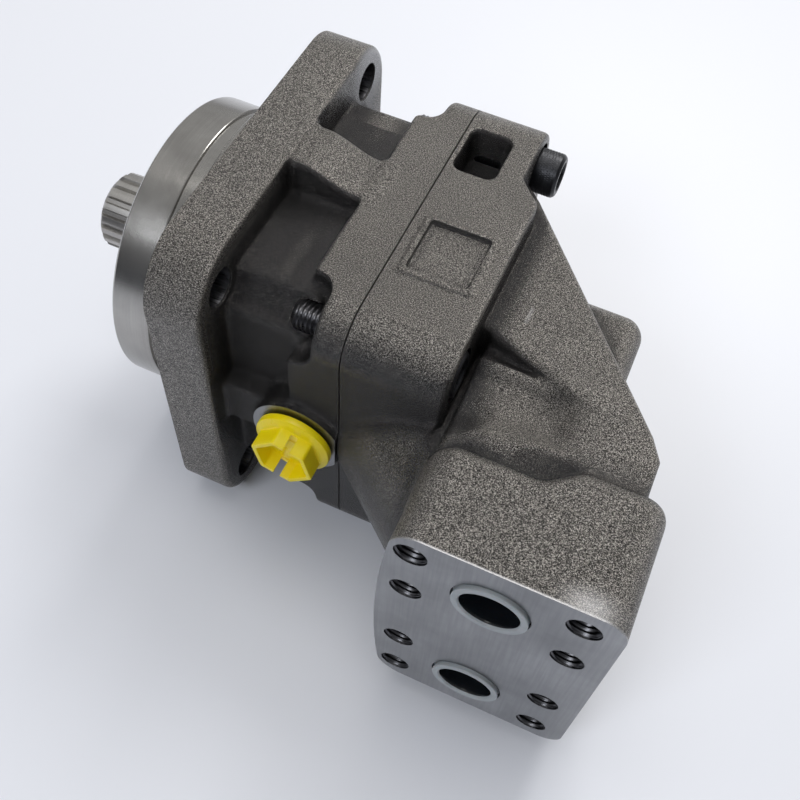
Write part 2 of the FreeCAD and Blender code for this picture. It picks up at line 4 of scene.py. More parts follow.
import bmesh
import bpy
import numpy as np
import openvdb
from mathutils import Matrix, Vector


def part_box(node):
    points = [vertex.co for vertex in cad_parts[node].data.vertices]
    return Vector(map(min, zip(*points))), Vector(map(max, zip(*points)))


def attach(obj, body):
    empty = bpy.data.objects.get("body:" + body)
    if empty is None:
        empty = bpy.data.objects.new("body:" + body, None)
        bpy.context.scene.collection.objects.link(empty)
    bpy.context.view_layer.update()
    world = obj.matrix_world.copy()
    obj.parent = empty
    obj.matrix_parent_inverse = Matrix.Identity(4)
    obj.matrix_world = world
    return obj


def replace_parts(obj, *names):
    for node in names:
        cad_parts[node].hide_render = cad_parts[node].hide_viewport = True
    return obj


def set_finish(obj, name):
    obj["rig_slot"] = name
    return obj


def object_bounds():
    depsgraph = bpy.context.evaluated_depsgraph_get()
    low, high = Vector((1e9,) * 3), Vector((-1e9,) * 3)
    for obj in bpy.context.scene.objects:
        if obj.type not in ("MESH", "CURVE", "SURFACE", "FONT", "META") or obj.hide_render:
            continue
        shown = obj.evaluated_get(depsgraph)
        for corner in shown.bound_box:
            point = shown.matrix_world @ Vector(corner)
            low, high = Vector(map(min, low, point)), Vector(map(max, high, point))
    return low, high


# Bent-axis piston motor. The two castings are grown as distance fields in millimetres, so that their
# ribs meet in soft foundry fillets, and are then cut by crisp machining tools.

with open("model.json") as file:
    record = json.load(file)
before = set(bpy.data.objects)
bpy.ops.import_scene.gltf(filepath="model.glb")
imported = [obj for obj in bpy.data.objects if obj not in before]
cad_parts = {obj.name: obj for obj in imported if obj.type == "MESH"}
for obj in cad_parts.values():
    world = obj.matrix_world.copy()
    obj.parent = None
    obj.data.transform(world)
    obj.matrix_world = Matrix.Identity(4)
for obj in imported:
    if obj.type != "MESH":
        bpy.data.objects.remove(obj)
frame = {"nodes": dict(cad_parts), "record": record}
CAD_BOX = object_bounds()
MM = 0.001


def box_mm(node):
    low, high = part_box(node)
    return np.array(low) / MM, np.array(high) / MM


BEARING_LO, BEARING_HI = box_mm("bearing_housing")
BARREL_LO, BARREL_HI = box_mm("barrel_housing")
SCREWS_LO, SCREWS_HI = box_mm("housing_screws")
DRAIN_LO, DRAIN_HI = box_mm("drain_plug")
MOUNTS = {m["name"]: m for m in frame["record"]["mounts"]}

# ---- sizes, millimetres ----
STEP = 0.9       # spacing of the field that the castings are grown in
FLANGE_T = 25.0
FLANGE_HALF = BEARING_HI[1]
FLANGE_CORNER = 29.0
PARTING = BEARING_LO[0]
SEAM = 0.3                              # each casting's edge stops this far short of the parting plane
NOSE_END = BEARING_HI[0]
PILOT_R = MOUNTS["pilot"]["dims"]["r_mm"]
PILOT_L = 9.0
NOSE_R = 72.4
GROOVE_X = 16.6
BLOCK_HALF = 80.0
BLOCK_CORNER = 21.0
BLOCK_FRONT = -58.0
BOLT_C = MOUNTS["flange_bolts"]["dims"]["pcd_mm"] / 2 / math.sqrt(2)
BOLT_R = MOUNTS["flange_bolts"]["dims"]["hole_r_mm"]
SCOOP_R = 17.5
SCOOP_X = -67.0
SCREW_HEAD_R = 10.5
SCREW_HEAD_H = 14.0
SCREW_R = 7.0
SCREW_C = SCREWS_HI[1] - SCREW_HEAD_R
SCREW_SEAT = SCREWS_LO[0] + SCREW_HEAD_H
SCREW_TIP = SCREWS_HI[0]
EAR_X = -128.0
EAR_STEP_X = -117.0
WEB_Z = 66.0
PORT_FACE = BARREL_HI[1]
PORT_X = MOUNTS["port_a_bolts"]["pos_m"][0] / MM
PORT_Z = MOUNTS["port_a_bolts"]["pos_m"][2] / MM
PORT_R = 15.9
PORT_BOLT = MOUNTS["port_a_bolts"]["dims"]
PORT_BLOCK_BACK = BARREL_LO[0]
PORT_BLOCK_FRONT = -128.5
PORT_BLOCK_HALF = 72.0
DRAIN_X = (DRAIN_LO[0] + DRAIN_HI[0]) / 2
DRAIN_Y = box_mm("drain_plug_washer")[0][1]
BEND = np.array([-72.0, 0.0, 0.0])
BEND_RAD = math.radians(40)
BARREL_DIR = np.array([-math.cos(BEND_RAD), math.sin(BEND_RAD), 0.0])
TUBE_R = 56.0
SHAFT_END = box_mm("output_shaft")[1][0]

WAIST_HALF = 70.0
WAIST_CHAMFER = 127.0                   # y + z at the waist's sloped corners
RIB_HALF = 13.5
UPPER_RIB_Y = -4.75
UPPER_RIB_HALF = 13.25
UPPER_RIB_RISE = 7.5
SCOOP_WIDE_R = SCOOP_R + 2.5
BOLT_ROOM_R = 13.4
DRAIN_BOSS_R = 22.0
DRAIN_BORE_R = 10.6
DRAIN_SPOT_R = 23.5
PORT_BLOCK_CORNER = 11.0
LABEL_X = -104.6
LABEL_Y = 20.5
POCKET_X = -95.5
POCKET_Y = -41.5
FLUSH_X = -175.2
FLUSH_Y = -16.0
DIMPLE_AT = (-173.6, 98.0, WEB_Z + 23.5)
DIMPLE_R = 30.0
HEX_TURN = 13.8                         # degrees, drain plug's hexagon about its axis


# ---- distance fields ----
class Space:
    """Evenly spaced sample points over a box."""

    def __init__(self, low, high, step):
        self.low = np.array(low, float)
        self.step = step
        axes = [np.arange(a, b + step, step, dtype=np.float32) for a, b in zip(low, high)]
        self.x = axes[0][:, None, None]
        self.y = axes[1][None, :, None]
        self.z = axes[2][None, None, :]

    def look_up(self, field, points):
        """The field's value at each point, by blending its eight neighbours. Beyond the samples it grows
        with the distance to them."""
        last = np.array(field.shape) - 1.001
        wanted = (points - self.low) / self.step
        at = np.clip(wanted, 0, last)
        beyond = np.linalg.norm(wanted - at, axis=1) * self.step
        base = at.astype(int)
        part = at - base
        total = np.zeros(len(points))
        for corner in range(8):
            pick = np.array([corner >> 2 & 1, corner >> 1 & 1, corner & 1])
            share = np.prod(np.where(pick, part, 1 - part), axis=1)
            i, j, k = (base + pick).T
            total += share * field[i, j, k]
        return total + beyond


def box_field(s, low, high, r):
    """Box with all its edges rounded to r."""
    mid = (np.array(low) + np.array(high)) / 2
    half = (np.array(high) - np.array(low)) / 2 - r
    qx = np.abs(s.x - mid[0]) - half[0]
    qy = np.abs(s.y - mid[1]) - half[1]
    qz = np.abs(s.z - mid[2]) - half[2]
    outside = np.sqrt(np.maximum(qx, 0) ** 2 + np.maximum(qy, 0) ** 2 + np.maximum(qz, 0) ** 2)
    return outside + np.minimum(np.maximum(np.maximum(qx, qy), qz), 0) - r


def extrude(outline, across, r):
    """Field of an outline's flat field taken along a third axis, its rims rounded to r."""
    a = outline + r
    b = across + r
    return np.minimum(np.maximum(a, b), 0) + np.hypot(np.maximum(a, 0), np.maximum(b, 0)) - r


def rounded_rectangle(u, v, half_u, half_v, corner):
    qu = np.abs(u) - (half_u - corner)
    qv = np.abs(v) - (half_v - corner)
    return np.minimum(np.maximum(qu, qv), 0) + np.hypot(np.maximum(qu, 0), np.maximum(qv, 0)) - corner


def plate_field(s, half, corner, x0, x1, r):
    """Square plate across X with rounded corners."""
    across = np.abs(s.x - (x0 + x1) / 2) - (x1 - x0) / 2
    return extrude(rounded_rectangle(s.y, s.z, half, half, corner), across, r)


def outline_field(s, points):
    """Flat field of a closed outline in X and Y."""
    near = np.full(np.broadcast_shapes(s.x.shape, s.y.shape), 1e9, np.float32)
    inside = np.zeros(near.shape, bool)
    for (x0, y0), (x1, y1) in zip(points, points[1:] + points[:1]):
        dx, dy = x1 - x0, y1 - y0
        t = np.clip(((s.x - x0) * dx + (s.y - y0) * dy) / (dx * dx + dy * dy), 0, 1)
        near = np.minimum(near, np.hypot(s.x - x0 - t * dx, s.y - y0 - t * dy))
        if dy:
            crosses = (y0 > s.y) != (y1 > s.y)
            inside ^= crosses & (s.x < (s.y - y0) * dx / dy + x0)
    return np.where(inside, -near, near)


def prism_field(s, points, z_half, r):
    return extrude(outline_field(s, points), np.abs(s.z) - z_half, r)


def rod_field(s, start, end, radius, r=0.0):
    """Round bar from start to end."""
    start, end = np.array(start, float), np.array(end, float)
    length = np.linalg.norm(end - start)
    way = (end - start) / length
    px, py, pz = s.x - start[0], s.y - start[1], s.z - start[2]
    along = px * way[0] + py * way[1] + pz * way[2]
    off = np.sqrt(np.maximum(px * px + py * py + pz * pz - along * along, 0))
    return extrude(off - radius, np.abs(along - length / 2) - length / 2, r)


def ball_field(s, centre, radius):
    return np.sqrt((s.x - centre[0]) ** 2 + (s.y - centre[1]) ** 2 + (s.z - centre[2]) ** 2) - radius


def merge(a, b, k):
    """Union with a foundry fillet about k across."""
    h = np.maximum(k - np.abs(a - b), 0) / k
    return np.minimum(a, b) - h * h * k / 4


def carve(a, b, k):
    """a without b, the rim rounded over about k."""
    return -merge(-a, b, k)


def keep_within(a, b, k):
    return -merge(-a, -b, k)


def ramp(value, start, end):
    t = np.clip((value - start) / (end - start), 0, 1)
    return t * t * (3 - 2 * t)


# ---- meshes ----
def new_object(name, mesh):
    piece = bpy.data.objects.new(name, mesh)
    bpy.context.scene.collection.objects.link(piece)
    return piece


def mesh_from(name, points, faces):
    mesh = bpy.data.meshes.new(name)
    mesh.from_pydata([tuple(p) for p in points], [], [tuple(f) for f in faces])
    mesh.validate()
    return new_object(name, mesh)


def skin(name, s, field):
    """The zero surface of a field as quads, in metres."""
    reach = 4 * s.step
    grid = openvdb.FloatGrid(reach)
    grid.copyFromArray(np.clip(field, -reach, reach).astype(np.float64))
    points, quads = grid.convertToQuads()
    points = (points * s.step + s.low) * MM
    piece = mesh_from(name, points.tolist(), quads[:, ::-1].tolist())
    if signed_volume(piece.data) < 0:
        piece.data.flip_normals()
    return piece


def signed_volume(mesh):
    work = bmesh.new()
    work.from_mesh(mesh)
    volume = work.calc_volume(signed=True)
    work.free()
    return volume


def frame_on(axis):
    """Matrix that turns +X onto an axis."""
    return Vector(axis).to_track_quat("X", "Y").to_matrix().to_4x4()


def turn(name, profile, at=(0, 0, 0), axis=(1, 0, 0), segments=128, radius=None):
    """Solid of revolution. The profile is (along, r) points, closed into a ring or ending on the axis;
    radius(along, r, angle) may shape it further."""
    rings, points, faces = [], [], []
    for along, r in profile:
        if r <= 1e-9:
            rings.append([len(points)])
            points.append((along, 0, 0))
            continue
        rings.append(list(range(len(points), len(points) + segments)))
        for k in range(segments):
            angle = 2 * math.pi * k / segments
            rr = radius(along, r, angle) if radius else r
            points.append((along, rr * math.cos(angle), rr * math.sin(angle)))
    closed = profile[0][1] > 1e-9
    pairs = list(zip(rings, rings[1:] + rings[:1])) if closed else list(zip(rings, rings[1:]))
    for a, b in pairs:
        for k in range(segments):
            n = (k + 1) % segments
            if len(a) == 1:
                faces.append((a[0], b[n], b[k]))
            elif len(b) == 1:
                faces.append((a[k], a[n], b[0]))
            else:
                faces.append((a[k], a[n], b[n], b[k]))
    piece = mesh_from(name, points, faces)
    if signed_volume(piece.data) < 0:
        piece.data.flip_normals()
    piece.data.transform(Matrix.Translation(Vector(at)) @ frame_on(axis))
    piece.data.transform(Matrix.Scale(MM, 4))
    return piece


def bar(name, sides, across, start, end, at, axis):
    """Regular prism along an axis, across its flats."""
    work = bmesh.new()
    r = across / 2 / math.cos(math.pi / sides)
    bmesh.ops.create_cone(work, cap_ends=True, segments=sides, radius1=r, radius2=r, depth=end - start)
    shift = Matrix.Translation(((start + end) / 2, 0, 0))
    upright = Matrix.Rotation(math.radians(90), 4, "Y")
    work.transform(Matrix.Translation(Vector(at)) @ frame_on(axis) @ shift @ upright)
    work.transform(Matrix.Scale(MM, 4))
    mesh = bpy.data.meshes.new(name)
    work.to_mesh(mesh)
    work.free()
    return new_object(name, mesh)


def slab(name, low, high, matrix=None):
    """Box between two corners."""
    work = bmesh.new()
    bmesh.ops.create_cube(work, size=1)
    size = np.array(high, float) - np.array(low, float)
    mid = (np.array(high, float) + np.array(low, float)) / 2
    work.transform(Matrix.Translation(Vector(mid)) @ Matrix.Diagonal((*size, 1)))
    if matrix is not None:
        work.transform(matrix)
    work.transform(Matrix.Scale(MM, 4))
    mesh = bpy.data.meshes.new(name)
    work.to_mesh(mesh)
    work.free()
    return new_object(name, mesh)


def boolean(piece, tool, operation):
    """Cuts or adds a tool, which is used up."""
    change = piece.modifiers.new("tool", "BOOLEAN")
    change.object = tool
    change.operation = operation
    change.solver = "MANIFOLD"
    graph = bpy.context.evaluated_depsgraph_get()
    mesh = bpy.data.meshes.new_from_object(piece.evaluated_get(graph))
    piece.modifiers.clear()
    piece.data = mesh
    bpy.data.objects.remove(tool)
    return piece


def cut(piece, tools):
    for tool in tools:
        boolean(piece, tool, "DIFFERENCE")
    return piece


def add(piece, tools):
    for tool in tools:
        boolean(piece, tool, "UNION")
    return piece


def crisp(piece, angle=32):
    """Smooth shading that breaks at edges sharper than an angle."""
    piece.data.shade_smooth()
    piece.data.set_sharp_from_angle(angle=math.radians(angle))
    return piece


# ---- materials ----
class Paint:
    """A material's node tree, with each node made by one call."""

    def __init__(self, name, **surface):
        self.material = bpy.data.materials.new(name)
        self.material.use_nodes = True
        self.tree = self.material.node_tree
        self.shader = self.tree.nodes["Principled BSDF"]
        self.set(self.shader, surface)
        self.place = self.node("ShaderNodeTexCoord").outputs["Object"]

    def set(self, node, values):
        for key, value in values.items():
            socket = node.inputs[key.replace("_", " ")] if isinstance(key, str) else node.inputs[key]
            if isinstance(value, bpy.types.NodeSocket):
                self.tree.links.new(value, socket)
            else:
                socket.default_value = value

    def node(self, kind, settings=None, **values):
        made = self.tree.nodes.new(kind)
        for key, value in (settings or {}).items():
            setattr(made, key, value)
        self.set(made, values)
        return made

    def stretch(self, scale, turned=(0, 0, 0)):
        made = self.node("ShaderNodeMapping", Vector=self.place, Scale=scale, Rotation=turned)
        return made.outputs["Vector"]

    def noise(self, scale, detail=2.0, roughness=0.5, where=None):
        made = self.node("ShaderNodeTexNoise", Vector=where or self.place, Scale=scale, Detail=detail,
                         Roughness=roughness)
        return made.outputs["Fac"]

    def cells(self, scale):
        return self.node("ShaderNodeTexVoronoi", Vector=self.place, Scale=scale).outputs["Distance"]

    def scaled(self, value, low, high, to_low=0.0, to_high=1.0):
        made = self.node("ShaderNodeMapRange", {"clamp": True}, Value=value)
        for key, number in zip(("From Min", "From Max", "To Min", "To Max"), (low, high, to_low, to_high)):
            made.inputs[key].default_value = number
        return made.outputs["Result"]

    def math(self, kind, a, b):
        made = self.tree.nodes.new("ShaderNodeMath")
        made.operation = kind
        made.use_clamp = True
        self.set(made, {0: a, 1: b})
        return made.outputs[0]

    def ramp(self, value, stops):
        made = self.node("ShaderNodeValToRGB", Fac=value)
        ramp = made.color_ramp
        while len(ramp.elements) < len(stops):
            ramp.elements.new(0.5)
        for element, (place, colour) in zip(ramp.elements, stops):
            element.position = place
            element.color = (*colour, 1)
        return made.outputs["Color"]

    def blend(self, amount, a, b):
        made = self.tree.nodes.new("ShaderNodeMix")
        made.data_type = "RGBA"
        for socket, value in zip((made.inputs[0], made.inputs[6], made.inputs[7]), (amount, a, b)):
            if isinstance(value, bpy.types.NodeSocket):
                self.tree.links.new(value, socket)
            elif isinstance(value, tuple):
                socket.default_value = (*value, 1)
            else:
                socket.default_value = value
        return made.outputs[2]

    def mix(self, amount, a, b):
        made = self.tree.nodes.new("ShaderNodeMix")
        made.data_type = "FLOAT"
        for socket, value in zip((made.inputs[0], made.inputs[2], made.inputs[3]), (amount, a, b)):
            if isinstance(value, bpy.types.NodeSocket):
                self.tree.links.new(value, socket)
            else:
                socket.default_value = value
        return made.outputs[0]

    def trait(self, name):
        return self.node("ShaderNodeAttribute", {"attribute_name": name}).outputs["Fac"]

    def bump(self, layers):
        """Bumps over each other, from (height, distance in mm, strength) layers."""
        normal = None
        for height, distance, strength in layers:
            made = self.node("ShaderNodeBump", Height=height, Distance=distance * MM, Strength=strength)
            if normal is not None:
                self.tree.links.new(normal, made.inputs["Normal"])
            normal = made.outputs["Normal"]
        return normal

    def finish(self, **links):
        self.set(self.shader, links)
        return self.material


def cast_skin():
    """Shot-blasted iron under a thin oil film: brown-grey grain, with painted shade, partly oil, that
    darkens it and makes it glossier in the hollows and on shaded sides.
    """
    p = Paint("cast_skin", Specular_IOR_Level=0.6, Metallic=0.75)
    grain = p.noise(2300, 3, 0.8)
    specks = p.cells(2300)
    patches = p.noise(38, 4, 0.6)
    tones = [(0, (0.007, 0.0065, 0.006)), (0.5, (0.080, 0.075, 0.069)), (1, (0.62, 0.585, 0.54))]
    colour = p.ramp(p.scaled(grain, 0.405, 0.605), tones)
    colour = p.blend(p.scaled(patches, 0.35, 0.7, 0, 0.2), colour, (0.072, 0.070, 0.068))
    wear = p.trait("wear")
    colour = p.blend(p.scaled(wear, 0.1, 0.9, 0, 0.85), colour, (0.40, 0.40, 0.41))
    # Painted shade, partly oil: the hollow trait darkens the colour towards near black and lowers the
    # roughness.
    shade_oil_mix = p.scaled(p.trait("hollow"), 0.15, 0.75)
    colour = p.blend(p.math("MULTIPLY", shade_oil_mix, 0.72), colour, (0.004, 0.005, 0.009))
    rough = p.mix(shade_oil_mix, p.scaled(specks, 0.1, 0.6, 0.22, 0.36), 0.20)
    relief = p.scaled(wear, 0.1, 0.9, 1.0, 0.25)
    normal = p.bump([
        (p.noise(60, 3, 0.5), 0.35, 0.5),
        (p.noise(600, 3, 0.6), 0.30, p.math("MULTIPLY", relief, 0.8)),
        (grain, 0.42, relief),
    ])
    return p.finish(Base_Color=colour, Roughness=rough, Normal=normal)


def machined_face():
    """Milled iron: satin grey with faint cutter arcs and a few stains."""
    p = Paint("machined_face", Metallic=1.0)
    arcs = p.noise(900, 2, 0.5, p.stretch((1, 1, 0.04), (0, 0.9, 0)))
    haze = p.noise(22, 4, 0.6)
    fine = p.noise(2500, 2, 0.6)
    colour = p.ramp(p.scaled(haze, 0.32, 0.68), [(0, (0.22, 0.225, 0.235)), (1, (0.38, 0.385, 0.40))])
    colour = p.blend(p.scaled(arcs, 0.35, 0.65, 0, 0.25), colour, (0.16, 0.165, 0.18))
    rough = p.mix(p.scaled(haze, 0.3, 0.7), 0.30, 0.42)
    normal = p.bump([(arcs, 0.02, 0.4), (fine, 0.01, 0.4)])
    return p.finish(Base_Color=colour, Roughness=rough, Normal=normal)


def drilled_bore():
    """Inside of drilled and tapped holes: metal darker than the milled faces."""
    p = Paint("drilled_bore", Metallic=1.0)
    rings = p.noise(1500, 2, 0.5, p.stretch((0.1, 1, 0.1)))
    colour = p.ramp(rings, [(0.3, (0.05, 0.05, 0.055)), (0.7, (0.16, 0.16, 0.17))])
    return p.finish(Base_Color=colour, Roughness=p.scaled(rings, 0.3, 0.7, 0.25, 0.4),
                    Normal=p.bump([(rings, 0.05, 0.6)]))


def turned_steel(name, low, high, ring_scale, rough):
    """Lathe-turned metal about X, with tool rings and soft stains."""
    p = Paint(name, Metallic=1.0)
    rings = p.noise(ring_scale, 3, 0.7, p.stretch((1, 0.012, 0.012)))
    haze = p.noise(26, 4, 0.6)
    colour = p.ramp(p.scaled(haze, 0.3, 0.7), [(0, low), (1, high)])
    colour = p.blend(p.scaled(rings, 0.3, 0.7, 0, 0.3), colour, tuple(0.7 * c for c in low))
    tooled = p.scaled(rings, 0.3, 0.7, 0, 0.06)
    stained = p.scaled(haze, 0.3, 0.7, rough, rough + 0.06)
    return p.finish(Base_Color=colour, Roughness=p.math("ADD", tooled, stained),
                    Normal=p.bump([(rings, 0.012, 0.6)]))


def steel(name, colour, rough, grain=900):
    """Ground or hardened steel with fine grain."""
    p = Paint(name, Metallic=1.0)
    fine = p.noise(grain, 3, 0.6)
    haze = p.noise(40, 3, 0.6)
    base = p.blend(p.scaled(haze, 0.3, 0.7, 0, 0.4), colour, tuple(0.72 * c for c in colour))
    return p.finish(Base_Color=base, Roughness=p.scaled(fine, 0.3, 0.7, rough, rough + 0.12),
                    Normal=p.bump([(fine, 0.012, 0.5)]))


def black_oxide():
    p = Paint("black_oxide", Metallic=0.6)
    fine = p.noise(1100, 3, 0.6)
    wear = p.noise(130, 3, 0.7)
    colour = p.ramp(p.scaled(wear, 0.35, 0.75), [(0, (0.012, 0.013, 0.016)), (1, (0.045, 0.046, 0.052))])
    return p.finish(Base_Color=colour, Roughness=p.scaled(fine, 0.3, 0.7, 0.26, 0.42),
                    Normal=p.bump([(fine, 0.02, 0.5)]))


def plastic(name, colour, shade, rough):
    """Moulded polyethylene, a little uneven, paler where it is thin."""
    p = Paint(name, Specular_IOR_Level=0.5, Subsurface_Weight=0.08, Subsurface_Scale=0.002)
    cloud = p.noise(90, 3, 0.6)
    fine = p.noise(1400, 2, 0.5)
    base = p.ramp(p.scaled(cloud, 0.3, 0.7), [(0, shade), (1, colour)])
    return p.finish(Base_Color=base, Roughness=p.scaled(cloud, 0.3, 0.7, rough, rough + 0.1),
                    Normal=p.bump([(cloud, 0.05, 0.3), (fine, 0.01, 0.3)]))


def rubber():
    p = Paint("rubber")
    fine = p.noise(1600, 3, 0.6)
    colour = p.ramp(fine, [(0.3, (0.015, 0.015, 0.016)), (0.7, (0.035, 0.035, 0.037))])
    return p.finish(Base_Color=colour, Roughness=p.scaled(fine, 0.3, 0.7, 0.55, 0.75),
                    Normal=p.bump([(fine, 0.02, 0.4)]))


def floor_paint():
    p = Paint("table", Specular_IOR_Level=0.4)
    soft = p.noise(1.3, 2, 0.4)
    colour = p.ramp(soft, [(0.3, (0.78, 0.80, 0.86)), (0.7, (0.81, 0.83, 0.89))])
    return p.finish(Base_Color=colour, Roughness=p.scaled(soft, 0.3, 0.7, 0.3, 0.4))


CAST = cast_skin()
MACHINED = machined_face()
BORE = drilled_bore()
TURNED = turned_steel("turned_nose", (0.33, 0.32, 0.305), (0.49, 0.48, 0.46), 2600, 0.15)
SHAFT_STEEL = turned_steel("shaft_steel", (0.36, 0.345, 0.33), (0.50, 0.49, 0.47), 1500, 0.26)
HARDENED = steel("hardened_steel", (0.42, 0.42, 0.43), 0.28)
BEARING_STEEL = steel("bearing_steel", (0.60, 0.60, 0.61), 0.15, 1500)
CAGE_STEEL = steel("cage_steel", (0.38, 0.38, 0.39), 0.35, 500)
RING_IRON = steel("ring_iron", (0.30, 0.30, 0.31), 0.35)
BRONZE = steel("bronze", (0.60, 0.40, 0.18), 0.3)
THREAD = steel("bright_thread", (0.20, 0.20, 0.21), 0.25)
BLACK = black_oxide()
YELLOW = plastic("yellow_plastic", (0.98, 0.81, 0.004), (0.94, 0.74, 0.003), 0.26)
GREY_PLASTIC = plastic("grey_plastic", (0.42, 0.45, 0.47), (0.33, 0.36, 0.38), 0.38)
# Painted shade: near-black glossy plastic for the inside of the port plugs' cups.
CUP_SHADE_PLASTIC = plastic("cup_painted_shade", (0.010, 0.012, 0.015), (0.006, 0.007, 0.009), 0.12)
RUBBER = rubber()
BY_SLOT = {
    "cast_housing": CAST, "shaft_steel": SHAFT_STEEL, "black_steel": BLACK, "bearing_steel": BEARING_STEEL,
    "cage_steel": CAGE_STEEL, "hardened_steel": HARDENED, "bronze": BRONZE, "ring_iron": RING_IRON,
    "seal_rubber": RUBBER, "yellow_plastic": YELLOW, "grey_plastic": GREY_PLASTIC,
}


def wear_out(piece, material, slot, body="housing"):
    """Gives a piece its material, its record slot and its body."""
    piece.data.materials.clear()
    for one in material if isinstance(material, list) else [material]:
        piece.data.materials.append(one)
    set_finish(piece, slot)
    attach(piece, body)
    return piece


# ---- castings ----
def corners(c):
    return [(sy * c, sz * c) for sy in (-1, 1) for sz in (-1, 1)]


def bearing_blank(s):
    """Field of the bearing housing's casting."""
    flange = plate_field(s, FLANGE_HALF, FLANGE_CORNER, -FLANGE_T, 5, 2.6)
    block = plate_field(s, BLOCK_HALF, BLOCK_CORNER, PARTING - 6, BLOCK_FRONT, 2.4)
    back, front = BLOCK_FRONT - 6, -FLANGE_T + 4
    waist = box_field(s, (back, -WAIST_HALF, -WAIST_HALF), (front, WAIST_HALF, WAIST_HALF), 6)
    waist = keep_within(waist, (np.abs(s.y) + np.abs(s.z) - WAIST_CHAMFER) / math.sqrt(2), 3.5)
    crest = s.z - BLOCK_HALF - UPPER_RIB_RISE * ramp(s.x, BLOCK_FRONT + 2, -30)
    upper = keep_within(np.abs(s.y - UPPER_RIB_Y) - UPPER_RIB_HALF, crest, 3)
    upper = np.maximum(np.maximum(upper, -s.z), np.maximum(back - s.x, s.x - front))
    across = box_field(s, (back, -BLOCK_HALF, -RIB_HALF), (front, BLOCK_HALF, RIB_HALF), 2.5)
    lower = box_field(s, (back, -RIB_HALF, -BLOCK_HALF), (front, RIB_HALF, 0), 3.0)
    ribs = np.minimum(np.minimum(upper, across), lower)
    for y, z in corners(BOLT_C):
        block = carve(block, rod_field(s, (SCOOP_X - 2, y, z), (10, y, z), SCOOP_WIDE_R, 8), 2.5)
    body = merge(merge(block, waist, 4), ribs, 3)
    for side in (1, -1):
        boss = rod_field(s, (DRAIN_X, 0, 0), (DRAIN_X, side * (DRAIN_Y + 3), 0), DRAIN_BOSS_R)
        body = merge(body, boss, 3)
    for y, z in corners(BOLT_C):
        body = carve(body, rod_field(s, (SCOOP_X, y, z), (10, y, z), BOLT_ROOM_R), 1.5)
    return merge(body, flange, 3.5)


def cavity():
    """Hollow for the bearings and the shaft's flange, front to back."""
    steps = [(PARTING - 1, 66), (-54, 66), (-54, 60), (-46, 60), (-46, 55), (-22, 55), (-22, 43), (5, 43)]
    return turn("cavity", [(PARTING - 1, 0)] + steps + [(5, 0)], segments=96)


def finish_casting(piece, s, field, flat_faces):
    """Marks cut faces as machined, and gives each vertex its wear trait and its hollow trait: painted shade
    in recesses and on shaded sides, partly oil.
    """
    mesh = piece.data
    mesh.materials.clear()
    for material in (CAST, MACHINED, BORE):
        mesh.materials.append(material)
    count = len(mesh.polygons)
    centres = np.empty(count * 3)
    mesh.polygons.foreach_get("center", centres)
    centres = centres.reshape(-1, 3) / MM
    normals = np.empty(count * 3)
    mesh.polygons.foreach_get("normal", normals)
    normals = normals.reshape(-1, 3)
    kind = np.where(s.look_up(field, centres) < -0.6 * s.step, 2, 0)
    for axis, place, low, high in flat_faces:
        on = np.abs(centres[:, axis] - place) < 0.06
        on &= np.abs(normals[:, axis]) > 0.98
        on &= np.all((centres >= low) & (centres <= high), axis=1)
        kind = np.where(on, 1, kind)
    mesh.polygons.foreach_set("material_index", kind.astype(np.int32))
    crisp(piece, 38)
    count = len(mesh.vertices)
    places = np.empty(count * 3)
    mesh.vertices.foreach_get("co", places)
    places = places.reshape(-1, 3) / MM
    ways = np.empty(count * 3)
    mesh.vertex_normals.foreach_get("vector", ways)
    ways = ways.reshape(-1, 3)

    # How shut in a vertex is, probed along its normal: ambient occlusion used as painted shade.
    def shut_in(reach):
        return 1 - s.look_up(field, places + reach * ways) / reach

    # Painted shade, partly a real oil film: faces turned to +Y, faces turned down and the floors between
    # block and flange are darkened.
    middle = (places[:, 0] > EAR_X - 3) & (places[:, 0] < -FLANGE_T - 1)
    side_shade_and_oil = 0.85 * np.clip(ways[:, 1], 0, 1) ** 1.5 * middle
    side_shade_and_oil += 0.25 * np.clip(-ways[:, 2], 0, 1)
    between = (places[:, 0] > BLOCK_FRONT - 9) & (places[:, 0] < -FLANGE_T - 0.4) & (places[:, 1] > -45)
    side_shade_and_oil += 0.45 * between * (np.abs(places[:, 1:]).max(axis=1) < BLOCK_HALF - 1.5)
    # The hollow trait: painted shade from the probes plus the facing shade above.
    hollow = 0.45 * shut_in(4) + 0.5 * shut_in(12) + 0.9 * shut_in(24) + side_shade_and_oil
    for name, values in (("hollow", hollow), ("wear", rubbed(places))):
        values = np.clip(values, 0, 1)
        trait = mesh.attributes.new(name, "FLOAT", "POINT")
        trait.data.foreach_set("value", values.astype(np.float32))
    return piece


def rubbed(places):
    """How far the skin is filed smooth: the port face's rim, its ground corner and two flange corners."""
    rim = np.where(np.abs(places[:, 1] - PORT_FACE) < 1.0, 1.0, 0.0)
    corner = np.linalg.norm((places - (-206, PORT_FACE - 3, 69)) / (11, 7, 9), axis=1)
    filed = np.maximum(rim, 0.75 * np.exp(-corner ** 2))
    along = np.clip(places[:, 1], 20.5, 28) - places[:, 1]
    scratch = np.hypot(np.hypot(places[:, 0] + 143.5, along), places[:, 2] - WEB_Z)
    filed = np.maximum(filed, 0.45 * np.exp(-scratch ** 2))
    for side in (1, -1):
        off = np.linalg.norm((places - (-FLANGE_T, -77, side * 77)) / (1.5, 21, 21), axis=1)
        filed = np.maximum(filed, 0.8 * np.exp(-off ** 4))
    return filed


